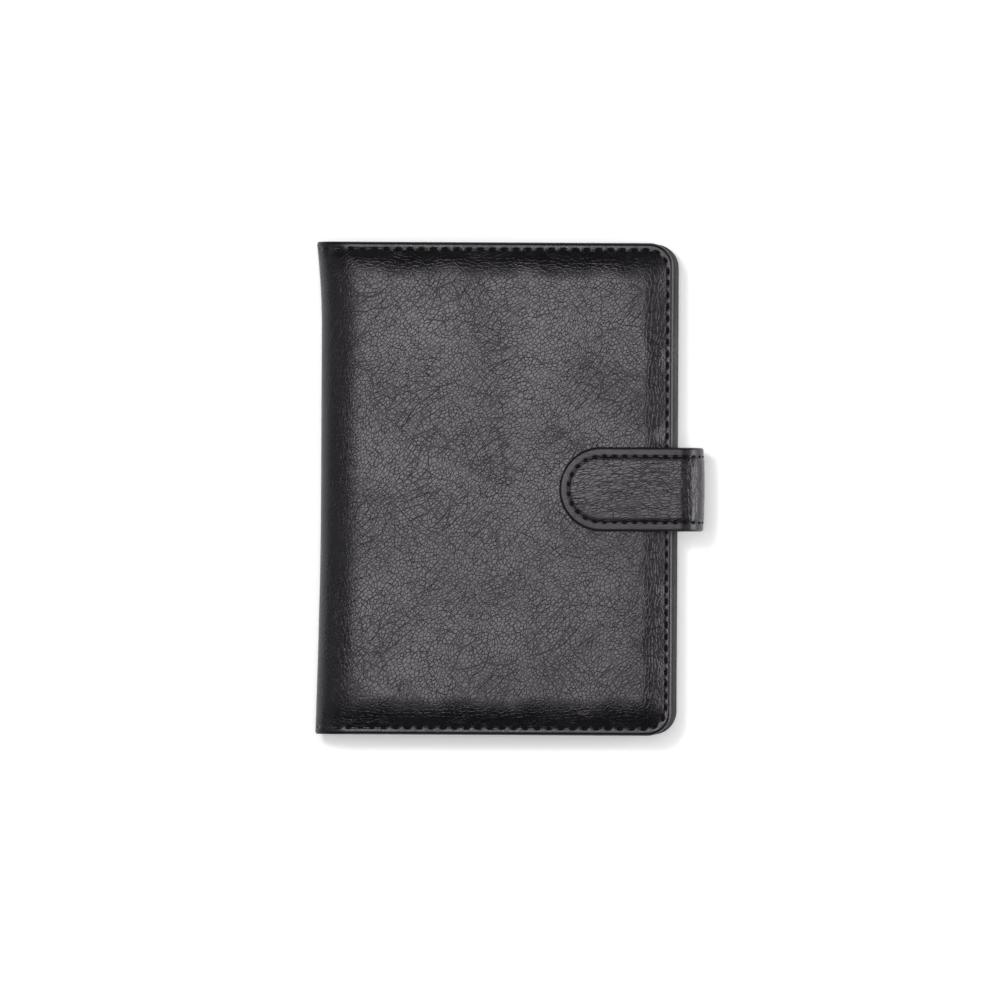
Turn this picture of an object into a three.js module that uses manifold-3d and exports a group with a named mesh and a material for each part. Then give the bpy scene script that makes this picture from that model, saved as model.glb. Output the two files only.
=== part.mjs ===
// A travel document holder: a padded cover that opens like a book, pockets for a passport and cards
// inside it, and a strap that comes round the fore-edge and closes on the front with a hidden magnet.
// Millimetres, +Z up. The holder lies closed on its rear cover, with the spine at -X and the strap at +X.
// The origin is the middle of the rear cover's flat underside.

import * as THREE from "three";
import { mergeVertices } from "three/addons/utils/BufferGeometryUtils.js";
import Module from "manifold-3d";

const wasm = await Module();
wasm.setup();

// Covers
const coverHeight = 142; // along the spine
const frontWidth = 96.5; // from the spine fold to the fore-edge
const rearReveal = 1.8; // the rear cover shows this much past the front one at the fore-edge
const cornerRadius = 7; // fore-edge corners
const spineCornerRadius = 1;
const skin = 0.8; // outer leather
const crown = 1.8; // rise of the padding above the sewn border
const border = 2.5; // flat sewn border
const slope = 6.5; // width of the padding's rise, from the border to the flat
const spineBorder = 1.1; // the border and the rise are narrower on the spine side
const spineSlope = 2.5;
const padSteepness = 2.2; // power of the padding's rise: the higher, the steeper at the seam
const padCornerRadius = 3; // corners of the padding's flat
const foamInset = 0.9; // the foam starts this far inside the border
const board = 1; // stiffening board
const boardInset = 0.6; // the board stops this far short of the cover's edges
const lining = 0.4;
const bond = 0.1; // glue line between two layers
const foldRelief = 1.6; // the inner layers stop this far short of the spine fold

// Spine
const spineSkin = 0.6; // thinned where it bends
const spineLining = 0.4;
const spineBulge = 4.5; // how far the spine stands out past the fold
const spineFlare = 1.2; // how much further it stands out at its two ends
const flareLength = 26; // stretch of spine over which an end flares
const spineTrim = 0.3; // the spine is cut shorter than the covers at each end
const spineLap = 0.88; // the spine's edge runs on this far under the cover's border
const foldGap = 0.3; // gap between two pieces that hinge on each other

// Pockets
const passportSpace = 4.4; // room left for a passport between the two covers
const pocketEase = 0.15; // slack behind each pocket
const sleeveSheet = 0.6;
const sleeveWidth = 62; // from the fore-edge towards the spine
const sleeveCornerRadius = 2;
const chipSheet = 0.5; // small pocket on the sleeve
const chipWidth = 24;
const chipHeight = 30;
const chipFromEdge = 14; // from the fore-edge
const chipFromTop = 22; // from the top edge
const slipSheet = 0.5;
const cardSheet = 0.5;
const cardWidth = 85.6; // standard card, long side
const cardSeam = 1.8; // sewn margin at each side of a card pocket
const cardPocketHeight = 36; // of the lowest pocket
const cardStep = 17; // from one pocket's top edge to the next
const cardFromBottom = 3.5; // from the cover's bottom edge to the pockets
const cardCornerRadius = 2;
const thumbRadius = 9; // notch in a pocket's top edge
const thumbDepth = 3;

// Strap
const strapWidth = 24.2;
const strapSkin = 0.7;
const strapCore = 1;
const strapLining = 0.5;
const strapCoreInset = 1.2; // the core is narrower than the skin on each side
const strapOverhang = 7.5; // how far the bend stands out past the rear cover
const strapLift = 0.3; // clearance between the tab and the front cover
const strapStart = 0.3; // clearance between the strap's bend and the rear cover's edge
const tabLength = 34.4; // from the bend to the tab's round tip
const anchorDepth = 12; // length of core sewn into the rear cover
const anchorEase = 0.3; // clearance round the core in the board's notch
const magnetDiameter = 12;
const magnetEase = 0.15; // clearance round the magnet in the core
const catchDiameter = 14;
const catchThickness = 0.6;
const catchEase = 0.2; // clearance round the catch plate in the foam

// Thread
const threadWidth = 0.6;
const threadHeight = 0.3;
const stitchInset = 2; // seam to edge on the covers
const strapStitchInset = 2.6; // seam to edge on the strap

// Levels, from the floor up
const rearBorderOuter = crown;
const rearBorderInner = crown + skin;
const rearBoardBottom = rearBorderInner + bond;
const anchorSpace = Math.max(board, strapCore);
const rearLiningBottom = rearBoardBottom + anchorSpace + bond;
const sleeveBottom = rearLiningBottom + lining + pocketEase;
const sleeveTop = sleeveBottom + sleeveSheet;
const cardBottom = sleeveTop + passportSpace;
const cardLevel = cardSheet + pocketEase;
const cardPocketNames = ["card_pocket_lower", "card_pocket_middle", "card_pocket_upper"];
const slipBottom = cardBottom + cardPocketNames.length * cardLevel;
const frontLiningBottom = slipBottom + slipSheet + pocketEase;
const frontBoardBottom = frontLiningBottom + lining + bond;
const frontBorderInner = frontBoardBottom + board + bond;
const frontBorderOuter = frontBorderInner + skin;
const frontTop = frontBorderOuter + crown;

// Places across the covers
const rearWidth = frontWidth + rearReveal;
const foldX = -rearWidth / 2;
const rearEdgeX = rearWidth / 2;
const frontEdgeX = foldX + frontWidth;
const innerX = foldX + foldRelief;
const halfHeight = coverHeight / 2;
const padStart = border + foamInset;
const padFlat = border + slope;

// Spine and strap bends: half ellipses seen along Y, each given by its outer face
const skive = (skin - spineSkin) / 2;
const spineBend = {
  x: foldX,
  z: (rearBorderOuter + frontBorderOuter) / 2,
  reach: spineBulge,
  rise: (frontBorderOuter - rearBorderOuter) / 2 - skive,
};
const strapThickness = strapSkin + strapCore + strapLining + 2 * bond;
const strapLow = rearBoardBottom - strapSkin - bond;
const strapHigh = frontTop + strapLift + strapThickness;
const strapX = rearEdgeX + strapStart;
const strapBend = {
  x: strapX,
  z: (strapLow + strapHigh) / 2,
  reach: strapOverhang - strapStart,
  rise: (strapHigh - strapLow) / 2,
};
const tipX = strapX - tabLength;
const closureX = tipX + strapWidth / 2;

const quarter = Math.PI / 2;
const eighth = Math.PI / 4;
const cornerSteps = 6;
const bendSteps = 5;
const tipSteps = 8;
const tipShare = 0.95; // the round tip ends in a short flat, this far round
const discSides = 24;
const riseShares = [0.1, 0.25, 0.45, 0.7, 1]; // rings across the padding's rise
const foamShares = riseShares.slice(1); // the foam starts further in
const flareShares = [0, 0.3, 0.6, 0.85, 1]; // rows along the spine's flare

// A closed mesh from points and triangles, turned so that its faces point outwards.
function closedGeometry(points, triangles) {
  let volume = 0;
  for (const [a, b, c] of triangles) {
    volume += points[a].dot(points[b].clone().cross(points[c]));
  }
  const index = triangles.flatMap(([a, b, c]) => (volume < 0 ? [a, c, b] : [a, b, c]));
  const geometry = new THREE.BufferGeometry().setFromPoints(points);
  geometry.setIndex(index);
  geometry.computeVertexNormals();
  return geometry;
}

// A sheet between two grids of points, closed along its four edges.
function thickSheet(outer, inner) {
  const rows = outer.length;
  const columns = outer[0].length;
  const points = [...outer.flat(), ...inner.flat()];
  const triangles = [];
  const at = (side, i, j) => side * rows * columns + i * columns + j;
  const quad = (a, b, c, d) => triangles.push([a, b, c], [a, c, d]);
  for (let i = 0; i < rows - 1; i++) {
    for (let j = 0; j < columns - 1; j++) {
      quad(at(0, i, j), at(0, i + 1, j), at(0, i + 1, j + 1), at(0, i, j + 1));
      quad(at(1, i, j), at(1, i, j + 1), at(1, i + 1, j + 1), at(1, i + 1, j));
    }
    quad(at(0, i, 0), at(1, i, 0), at(1, i + 1, 0), at(0, i + 1, 0));
    const last = columns - 1;
    quad(at(0, i, last), at(0, i + 1, last), at(1, i + 1, last), at(1, i, last));
  }
  for (let j = 0; j < columns - 1; j++) {
    quad(at(0, 0, j), at(0, 0, j + 1), at(1, 0, j + 1), at(1, 0, j));
    const last = rows - 1;
    quad(at(0, last, j), at(1, last, j), at(1, last, j + 1), at(0, last, j + 1));
  }
  return closedGeometry(points, triangles);
}

// Points round a rectangle, anticlockwise, with one radius at the spine side and one at the fore-edge.
function roundedOutline(x0, x1, y0, y1, spineRadius, foreRadius) {
  const corners = [
    { x: x0 + spineRadius, y: y0 + spineRadius, radius: spineRadius, from: 2 * quarter },
    { x: x1 - foreRadius, y: y0 + foreRadius, radius: foreRadius, from: 3 * quarter },
    { x: x1 - foreRadius, y: y1 - foreRadius, radius: foreRadius, from: 0 },
    { x: x0 + spineRadius, y: y1 - spineRadius, radius: spineRadius, from: quarter },
  ];
  const points = [];
  for (const corner of corners) {
    for (let k = 0; k <= cornerSteps; k++) {
      const angle = corner.from + (quarter * k) / cornerSteps;
      const x = corner.x + corner.radius * Math.cos(angle);
      const y = corner.y + corner.radius * Math.sin(angle);
      points.push(new THREE.Vector2(x, y));
    }
  }
  return points;
}

// A cover's outline moved in by an inset. The spine side moves in less, because its rise is narrower.
function coverOutline(edgeX, inset) {
  const past = Math.max(inset - border, 0);
  const spineInset = ((inset - past) * spineBorder) / border + (past * spineSlope) / slope;
  const softRadius = (padCornerRadius * inset) / padFlat;
  return roundedOutline(
    foldX + spineInset,
    edgeX - inset,
    inset - halfHeight,
    halfHeight - inset,
    Math.max(spineCornerRadius - inset, softRadius),
    Math.max(cornerRadius - inset, softRadius),
  );
}

// Height of the padding above the border: steep at the seam, level at the flat.
function padRise(inset) {
  const share = THREE.MathUtils.clamp((inset - border) / slope, 0, 1);
  return crown * (1 - Math.pow(1 - share, padSteepness));
}

// A closed sheet over a cover's outline, built as rings from the edge to the flat, which is filled.
function ringSheet(edgeX, insets, upper, lower) {
  const rings = insets.map((inset) => coverOutline(edgeX, inset));
  const count = rings[0].length;
  const points = [];
  for (const level of [upper, lower]) {
    rings.forEach((ring, k) => {
      for (const p of ring) {
        points.push(new THREE.Vector3(p.x, p.y, level(insets[k])));
      }
    });
  }
  const triangles = [];
  const at = (side, k, i) => (side * rings.length + k) * count + (i % count);
  const quad = (a, b, c, d) => triangles.push([a, b, c], [a, c, d]);
  for (let i = 0; i < count; i++) {
    for (let k = 0; k < rings.length - 1; k++) {
      quad(at(0, k, i), at(0, k, i + 1), at(0, k + 1, i + 1), at(0, k + 1, i));
      quad(at(1, k, i), at(1, k + 1, i), at(1, k + 1, i + 1), at(1, k, i + 1));
    }
    quad(at(1, 0, i), at(1, 0, i + 1), at(0, 0, i + 1), at(0, 0, i));
  }
  const last = rings.length - 1;
  for (const [a, b, c] of THREE.ShapeUtils.triangulateShape(rings[last], [])) {
    triangles.push([at(0, last, a), at(0, last, b), at(0, last, c)]);
    triangles.push([at(1, last, a), at(1, last, c), at(1, last, b)]);
  }
  return closedGeometry(points, triangles);
}

// A flat sheet of an outline, standing on a level.
function flatSheet(outline, bottom, thickness) {
  const geometry = new THREE.ExtrudeGeometry(new THREE.Shape(outline), {
    depth: thickness,
    bevelEnabled: false,
  });
  return geometry.translate(0, 0, bottom);
}

// A disc lying flat, standing on a level.
function disc(diameter, x, bottom, thickness) {
  const geometry = new THREE.CylinderGeometry(diameter / 2, diameter / 2, thickness, discSides);
  return geometry.rotateX(quarter).translate(x, 0, bottom + thickness / 2);
}

function toSolid(geometry) {
  const bare = geometry.clone();
  bare.deleteAttribute("normal");
  bare.deleteAttribute("uv");
  const merged = mergeVertices(bare, 1e-4);
  return new wasm.Manifold(
    new wasm.Mesh({
      numProp: 3,
      vertProperties: new Float32Array(merged.attributes.position.array),
      triVerts: new Uint32Array(merged.index.array),
    }),
  );
}

function toGeometry(solid) {
  const mesh = solid.getMesh();
  const geometry = new THREE.BufferGeometry();
  geometry.setAttribute("position", new THREE.BufferAttribute(mesh.vertProperties, 3));
  geometry.setIndex(new THREE.BufferAttribute(mesh.triVerts, 1));
  geometry.computeVertexNormals();
  return geometry;
}

function joined(a, b) {
  return toGeometry(toSolid(a).add(toSolid(b)));
}

function cut(a, b) {
  return toGeometry(toSolid(a).subtract(toSolid(b)));
}

// A place on a bend at an angle from +X, with the direction towards the bend's inside.
function bendStation(bend, angle, extraReach = 0) {
  const reach = bend.reach + extraReach;
  const inward = new THREE.Vector2(-Math.cos(angle) / reach, -Math.sin(angle) / bend.rise).normalize();
  return {
    x: bend.x + reach * Math.cos(angle),
    z: bend.z + bend.rise * Math.sin(angle),
    inward,
  };
}

// The angle taken up by half a fold's gap at a place on a bend.
function halfGapAngle(bend, angle) {
  const speed = Math.hypot(bend.reach * Math.sin(angle), bend.rise * Math.cos(angle));
  return foldGap / 2 / speed;
}

// Even steps from one value to another, both ends included.
function spread(from, to, steps) {
  return Array.from({ length: steps + 1 }, (unused, k) => from + ((to - from) * k) / steps);
}

const flareStart = halfHeight - flareLength;
const spineEnd = halfHeight - spineTrim;

// How much further the spine stands out at a place along Y.
function flareAt(y) {
  return spineFlare * THREE.MathUtils.smoothstep(Math.abs(y), flareStart, halfHeight);
}

const spineRows = flareShares.map((share) => Math.min(flareStart + share * flareLength, spineEnd));
const spineYs = [...spineRows.map((y) => -y).reverse(), ...spineRows];

// A stretch of the spine between two angles, from one depth below the outer face to another.
function spineStrip(angles, near, far, lapTo = null) {
  const grid = (depth) => {
    const rows = angles.map((angle) =>
      spineYs.map((y) => {
        const station = bendStation(spineBend, angle, flareAt(y));
        return new THREE.Vector3(
          station.x + depth * station.inward.x,
          y,
          station.z + depth * station.inward.y,
        );
      }),
    );
    if (lapTo !== null) {
      rows.unshift(rows[0].map((p) => new THREE.Vector3(lapTo, p.y, p.z)));
    }
    return rows;
  };
  return thickSheet(grid(near), grid(far));
}

const rearFoldAngle = 5 * eighth;
const frontFoldAngle = 3 * eighth;
const spineGap = halfGapAngle(spineBend, rearFoldAngle);

// Outer skin of a cover: the padded sheet and the edge of the spine that bends with it.
function coverSkin(edgeX, upper, lower, foldAngles) {
  const insets = [0, border, ...riseShares.map((share) => border + share * slope)];
  const padded = ringSheet(edgeX, insets, upper, lower);
  const edge = spineStrip(foldAngles, 0, spineSkin, foldX + spineLap);
  return joined(padded, edge);
}

// The foam under a cover's skin, within the sewn border.
function foamPad(edgeX, upper, lower) {
  const insets = [padStart, ...foamShares.map((share) => border + share * slope)];
  return ringSheet(edgeX, insets, upper, lower);
}

// A flat inner layer of a cover, from near the spine to the other three edges or an inset from them.
function innerLayer(edgeX, bottom, thickness, inset = 0) {
  const outline = roundedOutline(
    innerX,
    edgeX - inset,
    inset - halfHeight,
    halfHeight - inset,
    spineCornerRadius,
    cornerRadius - inset,
  );
  return flatSheet(outline, bottom, thickness);
}

// A seam's thread along three sides of a cover, lying on the border.
function coverThread(edgeX, from, to) {
  const side = (inset, z) => {
    const outline = coverOutline(edgeX, inset);
    const startX = foldX + spineBorder;
    const corner = cornerSteps + 1;
    const bends = outline.slice(corner, 3 * corner);
    const path = [
      new THREE.Vector2(startX, bends[0].y),
      ...bends,
      new THREE.Vector2(startX, bends[bends.length - 1].y),
    ];
    return path.map((p) => new THREE.Vector3(p.x, p.y, z));
  };
  const near = stitchInset - threadWidth / 2;
  const far = stitchInset + threadWidth / 2;
  const grid = (z) => {
    const outside = side(near, z);
    const inside = side(far, z);
    return outside.map((p, i) => [p, inside[i]]);
  };
  return thickSheet(grid(from), grid(to));
}

// A stretch of strap: stations along it, half a width at each, and two depths below the outer face.
function strapStrip(stations, near, far) {
  const grid = (depth) =>
    stations.map(({ x, z, inward, half }) => {
      const px = x + depth * inward.x;
      const pz = z + depth * inward.y;
      return [new THREE.Vector3(px, -half, pz), new THREE.Vector3(px, half, pz)];
    });
  return thickSheet(grid(near), grid(far));
}

// Stations along the strap's bend, from one angle to another.
function strapBendStations(from, to, half) {
  return spread(from, to, bendSteps).map((angle) => ({ ...bendStation(strapBend, angle), half }));
}

// The flat of the tab and its round tip, drawn in all round by an inset.
function tabStations(inset) {
  const half = strapWidth / 2 - inset;
  const down = new THREE.Vector2(0, -1);
  return spread(0, tipShare * quarter, tipSteps).map((angle) => ({
    x: closureX - half * Math.sin(angle),
    z: strapHigh,
    inward: down,
    half: half * Math.cos(angle),
  }));
}

const rootAngle = -eighth;
const tabAngle = eighth;
const strapGap = halfGapAngle(strapBend, tabAngle);
const coreDepth = strapSkin + bond;
const strapLiningDepth = coreDepth + strapCore + bond;
const strapLayers = [
  { name: "skin", near: 0, far: strapSkin, inset: 0 },
  { name: "core", near: coreDepth, far: coreDepth + strapCore, inset: strapCoreInset },
  { name: "lining", near: strapLiningDepth, far: strapThickness, inset: 0 },
];

// The end of the core that is sewn into the rear cover, level with its board.
function anchorStation(half) {
  return { x: rearEdgeX - anchorDepth, z: strapLow, inward: new THREE.Vector2(0, 1), half };
}

// One layer of one stretch of the strap.
function strapLayer(layer, stretch) {
  const half = strapWidth / 2 - layer.inset;
  if (stretch === "root") {
    const stations = strapBendStations(-quarter, rootAngle - strapGap, half);
    if (layer.name === "core") {
      stations.unshift(anchorStation(half));
    }
    return strapStrip(stations, layer.near, layer.far);
  }
  if (stretch === "bend") {
    const stations = strapBendStations(rootAngle + strapGap, tabAngle - strapGap, half);
    return strapStrip(stations, layer.near, layer.far);
  }
  const stations = [...strapBendStations(tabAngle + strapGap, quarter, half), ...tabStations(layer.inset)];
  return strapStrip(stations, layer.near, layer.far);
}

// The seam's thread round the tab, lying on its outer face.
function tabThread() {
  const side = (inset) => {
    const half = strapWidth / 2 - inset;
    const round = spread(-quarter, quarter, 2 * tipSteps).map(
      (angle) => new THREE.Vector2(closureX - half * Math.cos(angle), half * Math.sin(angle)),
    );
    return [new THREE.Vector2(strapX, -half), ...round, new THREE.Vector2(strapX, half)];
  };
  const outside = side(strapStitchInset - threadWidth / 2);
  const inside = side(strapStitchInset + threadWidth / 2);
  const grid = (z) =>
    outside.map((p, i) => [
      new THREE.Vector3(p.x, p.y, z),
      new THREE.Vector3(inside[i].x, inside[i].y, z),
    ]);
  return thickSheet(grid(strapHigh), grid(strapHigh + threadHeight));
}

// A board with a notch in its fore-edge that the strap's core lies in.
function notchedBoard() {
  const width = strapWidth - 2 * strapCoreInset + 2 * anchorEase;
  const depth = anchorDepth + anchorEase;
  const notch = new THREE.BoxGeometry(2 * depth, width, 4 * board);
  notch.translate(rearEdgeX, 0, rearBoardBottom + board / 2);
  return cut(innerLayer(rearEdgeX, rearBoardBottom, board, boardInset), notch);
}

// A card pocket: a sheet across the front cover, with a thumb notch in its top edge.
function cardPocket(k) {
  const width = cardWidth + 2 * cardSeam;
  const middle = (innerX + frontEdgeX) / 2;
  const bottomEdge = cardFromBottom - halfHeight;
  const topEdge = bottomEdge + cardPocketHeight + k * cardStep;
  const outline = roundedOutline(
    middle - width / 2,
    middle + width / 2,
    bottomEdge,
    topEdge,
    cardCornerRadius,
    cardCornerRadius,
  );
  const bottom = cardBottom + k * cardLevel;
  const notch = disc(2 * thumbRadius, middle, bottom - cardSheet, 3 * cardSheet);
  notch.translate(0, topEdge + thumbRadius - thumbDepth, 0);
  return cut(flatSheet(outline, bottom, cardSheet), notch);
}

// The wide pocket on the rear cover that a passport's rear board goes into.
function passportSleeve() {
  const outline = roundedOutline(
    rearEdgeX - sleeveWidth,
    rearEdgeX,
    -halfHeight,
    halfHeight,
    sleeveCornerRadius,
    cornerRadius,
  );
  return flatSheet(outline, sleeveBottom, sleeveSheet);
}

// The small pocket on the sleeve.
function chipPocket() {
  const x1 = rearEdgeX - chipFromEdge;
  const y1 = halfHeight - chipFromTop;
  const outline = roundedOutline(
    x1 - chipWidth,
    x1,
    y1 - chipHeight,
    y1,
    cardCornerRadius,
    cardCornerRadius,
  );
  return flatSheet(outline, sleeveTop + pocketEase, chipSheet);
}

// The front's foam has a round seat in its top for the catch plate.
function frontFoam() {
  const top = (inset) => frontBorderInner + padRise(inset) - bond;
  const pad = foamPad(frontEdgeX, top, () => frontBorderInner);
  const seatBottom = frontTop - skin - bond - catchThickness - bond;
  const seat = disc(catchDiameter + 2 * catchEase, closureX, seatBottom, 2 * catchThickness);
  return cut(pad, seat);
}

// The tab's core has a round hole for the magnet.
function strapMagnetSeat(core) {
  const bottom = strapHigh - coreDepth - 2 * strapCore;
  return cut(core, disc(magnetDiameter + 2 * magnetEase, closureX, bottom, 3 * strapCore));
}

const leather = { color: 0x2b2a2c, roughness: 0.5, metalness: 0 };
const liningCloth = { color: 0x1d1d1f, roughness: 0.85, metalness: 0 };
const pocketLeather = { color: 0x262527, roughness: 0.6, metalness: 0 };
const foam = { color: 0xd9d4c8, roughness: 0.95, metalness: 0 };
const greyBoard = { color: 0x8c877d, roughness: 0.9, metalness: 0 };
const thread = { color: 0x111112, roughness: 0.7, metalness: 0 };
const steel = { color: 0x9fa2a6, roughness: 0.35, metalness: 1 };

function addPiece(group, name, geometry, finish) {
  const mesh = new THREE.Mesh(geometry, new THREE.MeshStandardMaterial(finish));
  mesh.name = name;
  group.add(mesh);
}

function buildRearCover() {
  const group = new THREE.Group();
  const outer = (inset) => rearBorderOuter - padRise(inset);
  const inner = (inset) => outer(inset) + skin;
  const foldAngles = spread(3 * quarter, rearFoldAngle + spineGap, bendSteps);
  addPiece(group, "rear_outer_skin", coverSkin(rearEdgeX, inner, outer, foldAngles), leather);
  const pad = foamPad(rearEdgeX, () => rearBorderInner, (inset) => inner(inset) + bond);
  addPiece(group, "rear_foam_pad", pad, foam);
  addPiece(group, "rear_board", notchedBoard(), greyBoard);
  addPiece(group, "rear_lining", innerLayer(rearEdgeX, rearLiningBottom, lining), liningCloth);
  addPiece(group, "passport_sleeve", passportSleeve(), pocketLeather);
  addPiece(group, "chip_card_pocket", chipPocket(), pocketLeather);
  const threadGeometry = coverThread(rearEdgeX, rearBorderOuter - threadHeight, rearBorderOuter);
  addPiece(group, "rear_seam_thread", threadGeometry, thread);
  return group;
}

function buildSpine() {
  const group = new THREE.Group();
  const angles = spread(rearFoldAngle - spineGap, frontFoldAngle + spineGap, 2 * bendSteps);
  addPiece(group, "spine_outer_skin", spineStrip(angles, 0, spineSkin), leather);
  const near = spineSkin + bond;
  addPiece(group, "spine_lining", spineStrip(angles, near, near + spineLining), liningCloth);
  return group;
}

function buildFrontCover() {
  const group = new THREE.Group();
  const outer = (inset) => frontBorderOuter + padRise(inset);
  const inner = (inset) => outer(inset) - skin;
  const foldAngles = spread(quarter, frontFoldAngle - spineGap, bendSteps);
  addPiece(group, "front_outer_skin", coverSkin(frontEdgeX, outer, inner, foldAngles), leather);
  addPiece(group, "front_foam_pad", frontFoam(), foam);
  const catchBottom = frontTop - skin - bond - catchThickness;
  addPiece(group, "catch_plate", disc(catchDiameter, closureX, catchBottom, catchThickness), steel);
  const boardGeometry = innerLayer(frontEdgeX, frontBoardBottom, board, boardInset);
  addPiece(group, "front_board", boardGeometry, greyBoard);
  addPiece(group, "front_lining", innerLayer(frontEdgeX, frontLiningBottom, lining), liningCloth);
  addPiece(group, "slip_pocket", innerLayer(frontEdgeX, slipBottom, slipSheet), pocketLeather);
  cardPocketNames.forEach((name, k) => addPiece(group, name, cardPocket(k), pocketLeather));
  const threadGeometry = coverThread(frontEdgeX, frontBorderOuter, frontBorderOuter + threadHeight);
  addPiece(group, "front_seam_thread", threadGeometry, thread);
  return group;
}

function buildStrap() {
  const group = new THREE.Group();
  const finishes = { skin: leather, core: greyBoard, lining: pocketLeather };
  for (const stretch of ["root", "bend", "tab"]) {
    for (const layer of strapLayers) {
      const strip = strapLayer(layer, stretch);
      const seated = stretch === "tab" && layer.name === "core";
      const geometry = seated ? strapMagnetSeat(strip) : strip;
      addPiece(group, `strap_${stretch}_${layer.name}`, geometry, finishes[layer.name]);
    }
  }
  const magnetBottom = strapHigh - coreDepth - strapCore;
  addPiece(group, "strap_magnet", disc(magnetDiameter, closureX, magnetBottom, strapCore), steel);
  addPiece(group, "strap_tab_thread", tabThread(), thread);
  return group;
}

const holder = new THREE.Group();
holder.add(buildRearCover(), buildSpine(), buildFrontCover(), buildStrap());

export default holder;
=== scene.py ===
import math
from functools import partial

import bmesh
import bpy
import numpy as np
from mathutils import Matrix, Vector


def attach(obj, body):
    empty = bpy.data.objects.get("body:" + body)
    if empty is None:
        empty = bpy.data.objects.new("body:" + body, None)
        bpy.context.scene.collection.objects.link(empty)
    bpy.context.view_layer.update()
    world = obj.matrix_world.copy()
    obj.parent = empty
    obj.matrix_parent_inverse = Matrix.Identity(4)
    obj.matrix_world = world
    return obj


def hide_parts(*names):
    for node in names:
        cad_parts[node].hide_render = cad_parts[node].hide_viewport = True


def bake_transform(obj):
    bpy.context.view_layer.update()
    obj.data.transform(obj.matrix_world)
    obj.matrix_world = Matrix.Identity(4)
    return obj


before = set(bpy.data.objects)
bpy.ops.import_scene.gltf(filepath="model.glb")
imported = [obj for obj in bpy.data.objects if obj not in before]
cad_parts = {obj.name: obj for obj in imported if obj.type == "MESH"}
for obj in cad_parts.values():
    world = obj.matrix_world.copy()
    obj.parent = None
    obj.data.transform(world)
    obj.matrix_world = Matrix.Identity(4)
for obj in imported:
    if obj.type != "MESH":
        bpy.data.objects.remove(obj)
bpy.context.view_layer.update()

mm = 0.001  # shapes below are worked out in millimetres
quarterTurn = math.pi / 2
join = np.concatenate
flatMap = "leatherFlat"  # UV map of a piece's place on its flat cut
pressedMark = "pressed"  # point attribute: 1 where the leather is pressed smooth
meshing = dict(merge=2e-6, degenerate=1e-7, sharpAngle=50)

# Places that several pieces share, as in the part's source
holder = dict(frontEdge=47.35, rearEdge=49.15, foldX=-49.15, innerX=-47.55)
halfHeight, cornerRadius = 71.0, 7.0
middleZ = 8.075  # half the thickness of the closed covers
sideEnd = halfHeight - cornerRadius  # where the fore-edge turns into a corner


def smoothStep(low, high, value):
    # 0 below low, 1 above high, and 3t^2 - 2t^3 between them
    share = np.clip((value - low) / (high - low), 0, 1)
    return share * share * (3 - 2 * share)


def asPoints(*parts):
    # coordinates stretched to one size and stacked
    return np.stack(np.broadcast_arrays(*parts), -1)


def strung(before, middle, after):
    # three runs as one, the last backwards; the outer two lose their inner ends
    return join([before[:-1], middle, after[-2::-1]])


def runLength(x, z):
    # length along each row of points from its start: the sum of its steps
    return join([0 * x[..., :1], np.cumsum(np.hypot(np.diff(x), np.diff(z)), -1)], -1)


def unit(vectors):
    # each row divided by its length
    return vectors / np.linalg.norm(vectors, axis=1, keepdims=True)


def gridFaces(rows, columns, start):
    # quads between neighbours in a grid that is numbered row by row
    row, column = np.meshgrid(np.arange(rows - 1), np.arange(columns - 1), indexing="ij")
    corner = start + row * columns + column
    return asPoints(corner, corner + 1, corner + columns + 1, corner + columns).reshape(-1, 4)


def makePiece(name, patches, caps, material):
    # one mesh from patches, as grids of points, flat places and pressed marks, and caps, as closed loops:
    # doubles are merged and faces turned outwards
    points = [patch[0].reshape(-1, 3) for patch in patches] + list(caps)
    flats = [patch[1].reshape(-1, 2) for patch in patches] + [cap[:, :2] for cap in caps]
    marks = [np.broadcast_to(patch[2], patch[0].shape[:2]).ravel() for patch in patches]
    marks += [np.zeros(len(cap)) for cap in caps]
    starts = join([[0], np.cumsum([len(group) for group in points])])
    faces = []
    for patch, start in zip(patches, starts):
        faces += gridFaces(*patch[0].shape[:2], int(start)).tolist()
    for cap, start in zip(caps, starts[len(patches):]):
        faces.append(list(range(int(start), int(start) + len(cap))))
    mesh = bpy.data.meshes.new(name)
    mesh.from_pydata((join(points) * mm).tolist(), [], faces)
    corners = np.empty(len(mesh.loops), np.int32)
    mesh.loops.foreach_get("vertex_index", corners)
    flatPlaces = (join(flats) * mm)[corners].astype(np.float32)
    mesh.uv_layers.new(name=flatMap).data.foreach_set("uv", flatPlaces.ravel())
    pressed = mesh.attributes.new(pressedMark, "FLOAT", "POINT")
    pressed.data.foreach_set("value", join(marks).astype(np.float32))
    merged = bmesh.new()
    merged.from_mesh(mesh)
    bmesh.ops.remove_doubles(merged, verts=merged.verts, dist=meshing["merge"])
    bmesh.ops.dissolve_degenerate(merged, edges=merged.edges, dist=meshing["degenerate"])
    bmesh.ops.recalc_face_normals(merged, faces=merged.faces)
    merged.to_mesh(mesh)
    merged.free()
    mesh.polygons.foreach_set("use_smooth", np.ones(len(mesh.polygons), bool))
    mesh.set_sharp_from_angle(angle=math.radians(meshing["sharpAngle"]))
    mesh.materials.append(material)
    return addObject(name, mesh)


def addObject(name, data):
    # an object with its data, in the scene
    made = bpy.data.objects.new(name, data)
    bpy.context.scene.collection.objects.link(made)
    return made


# Materials


def feed(node, inputs):
    # a node's inputs set to values or linked to sockets
    for socket, value in inputs.items():
        if isinstance(value, bpy.types.NodeSocket):
            node.id_data.links.new(value, node.inputs[socket])
        else:
            node.inputs[socket].default_value = value
    return node


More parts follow.
